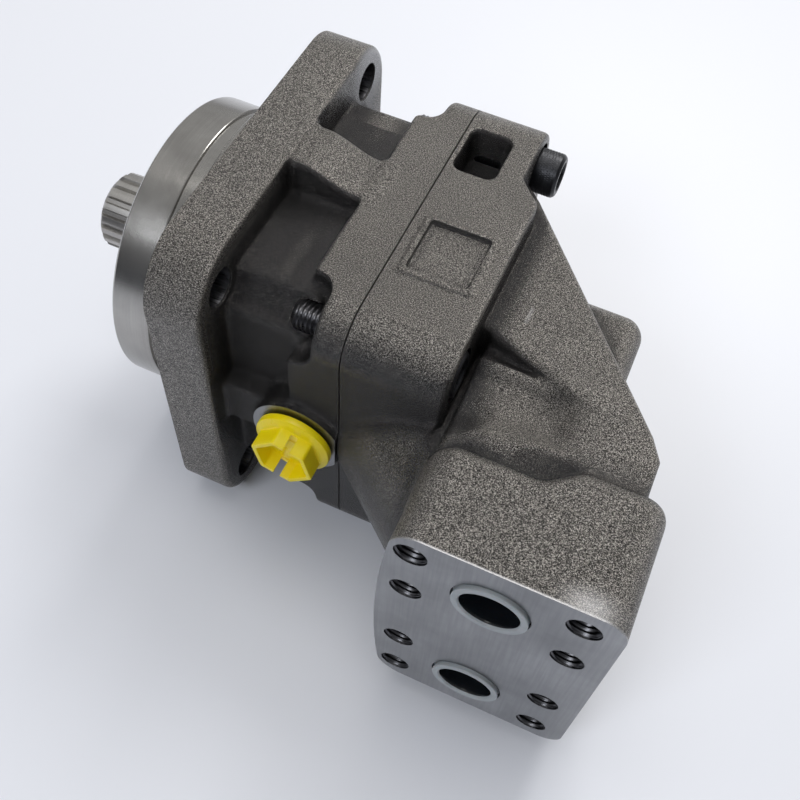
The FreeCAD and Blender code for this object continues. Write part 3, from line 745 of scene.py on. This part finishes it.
def bearing_housing():
    s = Space((PARTING - 8, -94, -94), (7, 94, 94), STEP)
    field = bearing_blank(s)
    piece = skin("bearing_casting", s, field)
    holes = [cavity()]
    for y, z in corners(BOLT_C):
        holes.append(turn("hole", [(-FLANGE_T - 1, 0), (-FLANGE_T - 1, BOLT_R + 1), (-FLANGE_T + 1, BOLT_R),
                                   (-1, BOLT_R), (1, BOLT_R + 1), (1, 0)], (0, y, z), segments=64))
    for y, z in corners(SCREW_C):
        holes.append(turn("tap", [(PARTING - 9, 0), (PARTING - 9, SCREW_R), (-58, SCREW_R), (-55, 0)],
                          (0, y, z), segments=48))
    for side in (1, -1):
        bore = [(60, 0), (60, DRAIN_BORE_R), (90, DRAIN_BORE_R), (90, 0)]
        holes.append(turn("drain", bore, (DRAIN_X, 0, 0), (0, side, 0), 64))
        spot = [(DRAIN_Y, 0), (DRAIN_Y, DRAIN_SPOT_R), (DRAIN_Y + 9, DRAIN_SPOT_R), (DRAIN_Y + 9, 0)]
        holes.append(turn("spot", spot, (DRAIN_X, 0, 0), (0, side, 0), 96))
    holes.append(slab("front", (0, -99, -99), (9, 99, 99)))
    holes.append(slab("parting", (PARTING - 9, -99, -99), (PARTING + SEAM, 99, 99)))
    cut(piece, holes)
    everywhere = (np.full(3, -999.0), np.full(3, 999.0))
    faces = [(0, 0.0, *everywhere), (0, PARTING + SEAM, *everywhere)]
    faces += [(1, side * DRAIN_Y, (-90, -999, -24), (-40, 999, 24)) for side in (1, -1)]
    finish_casting(piece, s, field, faces)
    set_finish(piece, "cast_housing")
    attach(piece, "housing")
    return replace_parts(piece, "bearing_housing")


def pilot_nose():
    """Turned pilot and long round nose, bored for the front bearing and the seal."""
    end = NOSE_END
    groove = GROOVE_X
    profile = [(0.02, 45), (0.02, PILOT_R), (PILOT_L - 1.2, PILOT_R), (PILOT_L, PILOT_R - 1.2)]
    profile += [(PILOT_L, NOSE_R - 0.3), (groove, NOSE_R - 0.3), (groove + 0.5, NOSE_R - 1.2)]
    profile += [(groove + 2.4, NOSE_R - 1.2), (groove + 2.9, NOSE_R - 0.2), (groove + 3.3, NOSE_R)]
    profile += [(end - 1.6, NOSE_R), (end - 1.1, NOSE_R - 0.25), (end - 0.2, NOSE_R - 1.3)]
    profile += [(end, NOSE_R - 1.8), (end, 33.4), (end - 0.7, 32.4), (end - 0.7, 31), (end - 0.8, 32.5)]
    profile += [(end - 2.3, 32.5)]
    profile += [(end - 2.4, 31), (22, 31), (22, 42.5), (2, 42.5), (2, 45)]
    piece = crisp(turn("pilot_nose", profile, segments=256), 20)
    wear_out(piece, TURNED, "cast_housing")
    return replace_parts(piece, "bearing_housing")


def neck_field(s):
    """Neck between barrel and port block. Its top swells and dips: a ridge beside the web, a shallow
    valley, a swelling by the ear, and a smooth rise into the web's level at the back."""
    x, y = s.x, s.y
    height = 55.6 + 6.4 * np.exp(-((y - 50.5) / 4.8) ** 2)
    height = height + 8.0 * np.exp(-((x + 147) / 12) ** 2 - ((y - 86) / 11) ** 2)
    rise = np.maximum(ramp(-x, 162, 184), ramp(-x, 138, 168) * ramp(y, 62, 86))
    height = height + (WEB_Z - height) * rise
    outline = rounded_rectangle(x + 167.5, y - 80, 37.0, 46, 8)
    outline = np.maximum(outline, 5 - 0.7675 * (x + 126) - 0.6415 * (y + 40))
    return extrude(outline, (np.abs(s.z) - height) / 1.08, 5)


def barrel_blank(s):
    """Field of the barrel housing's casting: ear, web, barrel tube, neck, port block and rear lug."""
    ear = plate_field(s, BLOCK_HALF, BLOCK_CORNER, EAR_X, PARTING + 8, 2.2)
    step = outline_field(s, [(-140, -90), (EAR_STEP_X, -90), (EAR_STEP_X, -36), (-123, -29), (-140, -14)])
    ear = carve(ear, step, 2.5)
    web = prism_field(s, [(-100, -50), (-119, -47), (-126, -40), (-207.4, 57.4), (-213, 67), (-213, 120),
                          (-188, 120), (-188, 58.5), (-182, 56.5), (-131, 38.6), (-100, 38.6)], WEB_Z, 3.0)
    tube = rod_field(s, BEND, BEND + BARREL_DIR * 132, TUBE_R, 4)
    body = merge(tube, neck_field(s), 6)
    body = merge(body, web, 3)
    for side in (1, -1):
        dimple = ball_field(s, (DIMPLE_AT[0], DIMPLE_AT[1], side * DIMPLE_AT[2]), DIMPLE_R)
        body = carve(body, dimple, 1.2)
    slot = outline_field(s, [(-131.6, 38), (-126, 38), (-126, 94), (-131.6, 94)])
    body = carve(body, extrude(slot, 46 - np.abs(s.z), 0.5), 1.5)
    body = merge(body, ear, 2)
    bow = 4.2 * (s.z / 67) ** 2 * ramp(s.x, -175, -140)
    mid = (PORT_BLOCK_BACK + PORT_BLOCK_FRONT) / 2
    half = (PORT_BLOCK_FRONT - PORT_BLOCK_BACK) / 2
    block = rounded_rectangle(s.x + bow - mid, s.z, half, PORT_BLOCK_HALF, PORT_BLOCK_CORNER)
    back = 96 - 10.5 * ramp(-s.x, 172, 192)
    block = keep_within(block, back - s.y, 8)
    body = merge(body, block, 3)
    lug = box_field(s, (-190.5, -15.4, -46), (-150, 45, 46), 10)
    body = merge(body, lug, 5)
    label = rounded_rectangle(s.x - LABEL_X, s.y - LABEL_Y, 16.5, 17.0, 1.2)
    panel = extrude(label, np.abs(s.z) - (BLOCK_HALF + 1.1), 0.3)
    panel = np.where(s.z > 0, panel, 99.0)
    body = merge(body, np.maximum(panel, 76 - s.z), 1.2)
    tray = rounded_rectangle(s.x - LABEL_X, s.y - LABEL_Y, 13.6, 14.2, 1.2)
    body = carve(body, extrude(tray, BLOCK_HALF - 0.8 - s.z, 0.3), 0.7)
    floor = 61 + 9 * ramp(s.y, -46, -30)
    for side in (1, -1):
        pocket = rounded_rectangle(s.x - POCKET_X, s.y - POCKET_Y, 9.6, 13.6, 4.0)
        body = carve(body, np.maximum(pocket, floor - side * s.z), 2.2)
    return body


def barrel_tools():
    """Bores, counterbores and tapped holes of the barrel housing."""
    room = [(-30, 0), (-30, 52.5), (48, 52.5), (48, 43.5), (103, 43.5), (103, 0)]
    flush = [(-1, 0), (-1, 8.2), (30, 8.2), (30, 0)]
    tools = [turn("room", room, tuple(BEND), tuple(BARREL_DIR), 96),
             turn("flush", flush, (FLUSH_X, FLUSH_Y, 0), (0, 1, 0), 48)]
    for side in (1, -1):
        z = side * PORT_Z
        tools.append(turn("port", [(-1, 0), (-1, PORT_R + 0.6), (0.6, PORT_R), (30, PORT_R), (30, 0)],
                          (PORT_X, PORT_FACE, z), (0, -1, 0), 96))
        for sx in (1, -1):
            for sz in (1, -1):
                x = PORT_X + sx * PORT_BOLT["spacing_x_mm"] / 2
                zz = z + sz * PORT_BOLT["spacing_y_mm"] / 2
                tools.append(tapped_hole((x, PORT_FACE, zz)))
        for y, start, wide in ((-SCREW_C, -150, 12.5), (SCREW_C, EAR_X - 3.5, 11.8)):
            bore = [(start, 0), (start, wide), (SCREW_SEAT, wide), (SCREW_SEAT, SCREW_R + 0.5)]
            bore += [(PARTING + 9, SCREW_R + 0.5), (PARTING + 9, 0)]
            tools.append(turn("screw", bore, (0, y, side * SCREW_C), segments=64))
    return tools


def tapped_hole(at):
    """Tapped M14 hole going down from a face, with a countersunk mouth and thread ridges."""
    r = PORT_BOLT["hole_r_mm"]
    pitch = 2.0
    rows = [(-1, 0), (-1, r + 1.0), (0.9, r + 0.8)]
    rows += [(1.0 + 0.5 * k, r + 0.05) for k in range(46)]
    rows += [(24, 0)]

    def ridge(along, radius, angle):
        if along < 1 or radius > r + 0.5:
            return radius
        wave = (along / pitch + angle / (2 * math.pi)) % 1
        return radius + 0.75 * abs(2 * wave - 1)

    return turn("tapped", rows, at, (0, -1, 0), 48, ridge)


def barrel_housing():
    s = Space((BARREL_LO[0] - 3, -84, -84), (PARTING + 6, PORT_FACE + 4, 84), STEP)
    field = barrel_blank(s)
    past_end = np.maximum(s.x - PARTING - 4, s.y - PORT_FACE - 2.5)
    piece = skin("barrel_casting", s, np.maximum(field, past_end))
    planes = [slab("parting", (PARTING - SEAM, -199, -99), (PARTING + 9, 199, 99)),
              slab("port_face", (-299, PORT_FACE, -99), (-50, PORT_FACE + 9, 99))]
    cut(piece, planes + barrel_tools())
    everywhere = (np.full(3, -999.0), np.full(3, 999.0))
    faces = [(1, PORT_FACE, *everywhere), (0, PARTING - SEAM, *everywhere), (0, SCREW_SEAT, *everywhere)]
    finish_casting(piece, s, field, faces)
    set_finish(piece, "cast_housing")
    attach(piece, "housing")
    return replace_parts(piece, "barrel_housing")


# ---- screws and plugs ----
def knurl(along, r, angle):
    """Diamond knurl on the side of a screw head."""
    if abs(r - SCREW_HEAD_R) > 0.01:
        return r
    a, b = 34 * angle, along * 1.15
    return r - 0.12 * (abs(math.sin(a + b)) + abs(math.sin(a - b)))


def housing_screw(name, y, z):
    """Knurled socket head screw along X."""
    seat = SCREW_SEAT
    top = seat - SCREW_HEAD_H
    r = SCREW_HEAD_R
    rows = [(top, 0), (top, r - 1.6), (top + 0.35, r - 1.0), (top + 1.4, r - 0.2)]
    rows += [(top + 2 + 0.4 * k, r) for k in range(26)]
    rows += [(seat - 1.2, r - 0.3), (seat - 0.1, r - 0.5), (seat, r - 1.2), (seat, SCREW_R)]
    rows += [(seat + 14, SCREW_R - 0.05)]
    start = seat + 15
    count = int((SCREW_TIP - 1.5 - start) / 0.5)
    rows += [(start + 0.5 * k, SCREW_R) for k in range(count)]
    rows += [(SCREW_TIP - 1.0, SCREW_R - 0.9), (SCREW_TIP, SCREW_R - 1.9), (SCREW_TIP, 0)]

    def shape(along, radius, angle):
        if along < seat:
            return knurl(along, radius, angle)
        if along < start or along > SCREW_TIP - 1.2:
            return radius
        return radius - 1.1 * abs(2 * ((along / 2.0 + angle / (2 * math.pi)) % 1) - 1)

    piece = turn(name, rows, (0, y, z), segments=136, radius=shape)
    lead = [(top - 0.5, 0), (top - 0.5, 7.6), (top + 0.9, 6.4), (top + 0.9, 0)]
    cut(piece, [bar("socket", 6, 12, top - 1, top + 8, (0, y, z), (1, 0, 0)),
                turn("lead", lead, (0, y, z), segments=48)])
    crisp(piece, 30)
    wear_out(piece, [BLACK, THREAD], "black_steel")
    for face in piece.data.polygons:
        face.material_index = 1 if face.center.x > (seat + 3) * MM else 0
    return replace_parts(piece, "housing_screws")


def drain_plug():
    """Yellow moulded plug: round flange, hollow hexagon with a screwdriver slot."""
    base = DRAIN_Y + 1.0
    at, up = (DRAIN_X, base, 0), (0, 1, 0)
    outer, inner = 13.5, 11.2
    rows = [(-13, 0), (-13, 9.8), (-12, 10.5), (0, 10.5)]
    rows += [(0, 17.6), (0.25, 18.1), (0.6, 18.3), (2.9, 18.3), (3.4, 18.1), (3.7, 17.6)]
    rows += [(4.9, outer + 1.9), (5.0, outer + 0.5), (5.5, outer), (13.6, outer), (13.9, outer - 0.15)]
    rows += [(14.0, outer - 0.45), (14.0, inner + 0.45), (13.9, inner + 0.15), (13.6, inner)]
    rows += [(6.2, inner), (5.7, inner - 0.2), (5.4, inner - 0.8), (5.4, 8.4), (5.6, 7.9), (6.2, 7.6)]
    rows += [(6.4, 7.1), (6.4, 0)]

    def hexagon(along, radius, angle):
        if along < 4.95 or radius < 9:
            return radius
        turned = (angle - math.radians(HEX_TURN) + math.radians(60)) % math.radians(60) - math.radians(30)
        flat = radius / math.cos(turned)
        return min(flat, radius * 1.122 + 0.4 * (flat - radius * 1.122))

    disc = turn("drain_plug_body", rows, at, up, 240, hexagon)
    spin = Matrix.Translation(Vector(at)) @ Matrix.Rotation(math.radians(-90 - HEX_TURN), 4, "Y")
    cut(disc, [slab("slot", (-20, 6.0, -1.7), (20, 16, 1.7), spin)])
    crisp(disc, 28)
    wear_out(disc, YELLOW, "yellow_plastic")
    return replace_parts(disc, "drain_plug")


def steel_plug(name, node, flats, collar_r):
    """Hexagon plug screwed in along +Y from below, with a turned collar."""
    low, high = box_mm(node)
    at = ((low[0] + high[0]) / 2, low[1], (low[2] + high[2]) / 2)
    up = (0, 1, 0)
    depth = high[1] - low[1]
    thread = collar_r * 0.68
    rows = [(8.2, 0), (8.2, collar_r - 0.6), (8.8, collar_r), (11.6, collar_r), (12, collar_r - 0.5)]
    rows += [(12, thread), (depth - 1, thread), (depth, thread - 1), (depth, 0)]
    body = turn(name, rows, at, up, 96)
    head = bar("head", 6, flats, 0, 9, at, up)
    crown = [(0, 0), (0, flats * 0.485), (2.2, flats * 0.59), (10, flats * 0.59), (10, 0)]
    boolean(head, turn("crown", crown, at, up, 96), "INTERSECT")
    add(body, [head])
    cut(body, [turn("recess", [(-1, 0), (-1, flats * 0.3), (0.8, flats * 0.27), (0.8, 0)], at, up, 64)])
    crisp(body, 30)
    wear_out(body, BLACK, "black_steel")
    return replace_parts(body, node)


def port_plug(name, node):
    """Ribbed plastic cup in a port: pale rim, its inside painted near-black and glossy as painted shade."""
    low, high = box_mm(node)
    at = ((low[0] + high[0]) / 2, high[1], (low[2] + high[2]) / 2)
    depth = high[1] - low[1]
    rim = PORT_R - 0.5
    rows = [(0.25, 12.5), (0, 12.8), (0, rim - 0.3), (0.3, rim), (0.9, rim)]
    rows += [(1.2, rim - 0.4), (2.2, rim - 0.4)]
    for k in range(5):
        y = 3.0 + 2.6 * k
        rows += [(y, rim - 0.4), (y + 0.5, rim + 0.25), (y + 1.1, rim - 0.4)]
    rows += [(depth - 0.5, rim - 0.5), (depth, rim - 1.2), (depth, 0)]
    inner = [(depth - 1.8, 0), (depth - 1.8, 10.2), (depth - 3.0, 11.3), (2.0, 11.9), (0.8, 12.2)]
    piece = turn(name, inner + rows, at, (0, -1, 0), 128)
    crisp(piece, 25)
    wear_out(piece, [GREY_PLASTIC, CUP_SHADE_PLASTIC], "grey_plastic")
    # Faces inside the cup take the near-black plastic, a painted shade.
    for face in piece.data.polygons:
        away = math.hypot(face.center.x / MM - at[0], face.center.z / MM - at[2])
        deep = at[1] - face.center.y / MM
        face.material_index = 1 if away < 12.25 and 0.5 < deep < depth - 1 else 0
    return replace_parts(piece, node)


def shaft():
    """The CAD shaft up to the seal land, and a detailed spline on its end."""
    start = 43.0
    source = frame["nodes"]["output_shaft"]
    mesh = source.data.copy()
    work = bmesh.new()
    work.from_mesh(mesh)
    bmesh.ops.remove_doubles(work, verts=work.verts[:], dist=1e-7)
    geometry = work.verts[:] + work.edges[:] + work.faces[:]
    bmesh.ops.bisect_plane(work, geom=geometry, plane_co=(start * MM, 0, 0), plane_no=(1, 0, 0),
                           clear_outer=True)
    work.to_mesh(mesh)
    work.free()
    body = new_object("shaft_body", mesh)
    crisp(body, 30)
    wear_out(body, SHAFT_STEEL, "shaft_steel", "shaft")
    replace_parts(body, "output_shaft")

    end = SHAFT_END
    tip, root, teeth = 19.8, 17.6, 18
    rows = [(start, 0), (start, root - 0.5), (44.5, root - 0.2)]
    rows += [(x, tip) for x in (45.5, 47, 52, 60, 68, 76, end - 2.2)]
    rows += [(end - 1.4, tip - 0.8), (end - 0.5, tip - 1.9), (end, tip - 2.7), (end, 0)]

    def tooth(along, radius, angle):
        wave = 0.5 + 0.5 * math.cos(teeth * angle)
        high = ramp(wave, 0.22, 0.62)
        run_out = ramp(along, 44.5, 47.0)
        groove = (tip - root) * (1 - float(high)) * float(run_out)
        return min(radius, tip - groove) if radius > root - 0.3 else radius

    spline = turn("shaft_spline", rows, segments=teeth * 24, radius=tooth)
    centre = [(end + 1, 0), (end + 1, 8.3), (end - 0.2, 7.4), (end - 1.6, 6.0)]
    centre += [(end - 29, 6.0), (end - 32, 0)]
    cut(spline, [turn("centre", centre, segments=64)])
    crisp(spline, 25)
    wear_out(spline, SHAFT_STEEL, "shaft_steel", "shaft")
    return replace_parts(spline, "output_shaft")


def carried_nodes():
    """Materials and shading for the CAD nodes that stay."""
    for part in frame["record"]["subparts"]:
        piece = frame["nodes"][part["node"]]
        piece.data.materials.clear()
        piece.data.materials.append(BY_SLOT[part["material_slot"]])
        piece["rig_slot"] = part["material_slot"]


# ---- stage ----
def stage():
    floor_z = CAD_BOX[0].z
    work = bmesh.new()
    bmesh.ops.create_grid(work, x_segments=8, y_segments=8, size=5.0)
    work.transform(Matrix.Translation((0, 0, floor_z - 0.0002)))
    mesh = bpy.data.meshes.new("table")
    work.to_mesh(mesh)
    work.free()
    table = new_object("table", mesh)
    mesh.materials.append(floor_paint())

    studio()
    for name, place, size, power, colour in (
        ("window", (-0.15, -1.5, 1.6), 1.1, 25, (1.0, 0.985, 0.96)),
        ("ceiling", (0.1, -0.1, 2.2), 1.2, 10, (1.0, 0.98, 0.95)),
        ("fill", (0.3, 1.15, 1.3), 0.6, 8.5, (0.92, 0.95, 1.0)),
    ):
        light = bpy.data.lights.new(name, "AREA")
        light.size = size
        light.energy = power
        light.color = colour
        lamp = bpy.data.objects.new(name, light)
        lamp.location = place
        toward = Vector((-0.08, 0.03, 0)) - lamp.location
        lamp.rotation_euler = toward.to_track_quat("-Z", "Y").to_euler()
        bpy.context.scene.collection.objects.link(lamp)


def studio():
    """Surroundings that are bright behind and above the part and darker on the near side."""
    world = bpy.data.worlds.new("studio")
    world.use_nodes = True
    tree = world.node_tree
    where = tree.nodes.new("ShaderNodeTexCoord")
    toward = tree.nodes.new("ShaderNodeVectorMath")
    toward.operation = "DOT_PRODUCT"
    toward.inputs[1].default_value = (0.05, -0.72, 0.69)
    shade = tree.nodes.new("ShaderNodeMapRange")
    shade.inputs["From Min"].default_value = -0.75
    shade.inputs["From Max"].default_value = 0.85
    tone = tree.nodes.new("ShaderNodeValToRGB")
    tone.color_ramp.elements[0].color = (0.02, 0.028, 0.05, 1)
    tone.color_ramp.elements[1].color = (1.0, 1.0, 1.0, 1)
    sky = tree.nodes["Background"]
    sky.inputs["Strength"].default_value = 0.50
    tree.links.new(where.outputs["Generated"], toward.inputs[0])
    tree.links.new(toward.outputs["Value"], shade.inputs["Value"])
    tree.links.new(shade.outputs["Result"], tone.inputs["Fac"])
    tree.links.new(tone.outputs["Color"], sky.inputs["Color"])
    bpy.context.scene.world = world
    bpy.context.scene.view_settings.view_transform = "Standard"


def camera():
    """Camera above the port side, rolled as the part lies in view."""
    place = Vector((-0.1829, 0.2870, 0.3946))
    look = Vector((0.1809, -0.5138, -0.8387)).normalized()
    up = Vector((0.3661, -0.7563, 0.5422))
    right = look.cross(up).normalized()
    up = right.cross(look).normalized()
    data = bpy.data.cameras.new("camera")
    data.sensor_width = 36.0
    data.lens = 45.32
    piece = bpy.data.objects.new("camera", data)
    piece.matrix_world = Matrix((
        (right.x, up.x, -look.x, place.x),
        (right.y, up.y, -look.y, place.y),
        (right.z, up.z, -look.z, place.z),
        (0, 0, 0, 1),
    ))
    bpy.context.scene.collection.objects.link(piece)
    bpy.context.scene.camera = piece


stage()
camera()
carried_nodes()
bearing_housing()
pilot_nose()
barrel_housing()
for number, (y, z) in enumerate(corners(SCREW_C), start=1):
    housing_screw("housing_screw_%d" % number, y, z)
drain_plug()
steel_plug("rear_plug", "rear_drain_plug", 24.0, 15.0)
steel_plug("flush_plug", "flushing_plug", 19.0, 12.0)
port_plug("port_cap_a", "port_plug_a")
port_plug("port_cap_b", "port_plug_b")
shaft()
